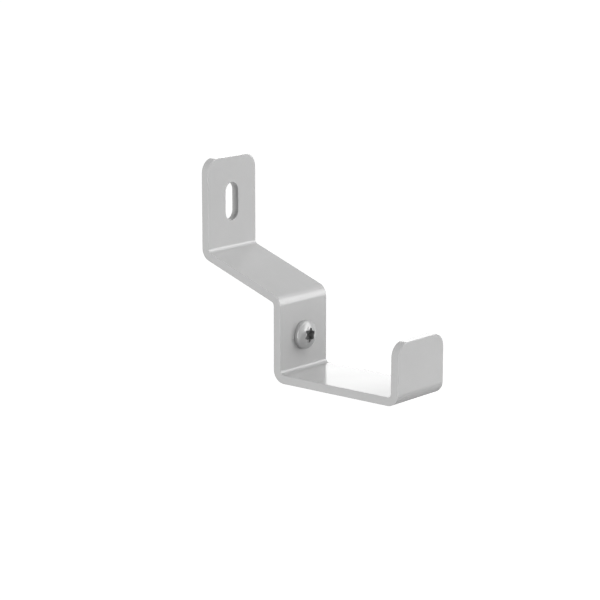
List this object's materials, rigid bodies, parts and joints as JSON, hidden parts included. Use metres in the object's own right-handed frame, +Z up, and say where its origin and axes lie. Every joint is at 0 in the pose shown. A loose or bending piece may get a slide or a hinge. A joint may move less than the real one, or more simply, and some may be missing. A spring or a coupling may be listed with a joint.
{
  "type": "cable tray wall bracket",
  "caption": "Folded flat strip wall bracket: slotted wall tab, sloping arm, drop plate with a pan head screw, and a shelf with an upturned lip that carries a cable tray.",
  "frame": {"origin": "centre of the wall slot, on the wall plane", "axes": "+Z up, +Y into the wall, +X to the right as seen by someone who faces the wall; the strip is symmetric about X = 0"},
  "size_m": [0.025, 0.087, 0.0745],
  "materials": {
    "strip_paint": "smooth light grey coating, semi-gloss, on folded steel strip",
    "screw_zinc": "grey zinc flake coating, satin, on steel"
  },
  "bodies": {
    "root": {"strip_bracket": "strip_paint", "tray_screw": "screw_zinc"}
  },
  "joints": []
}
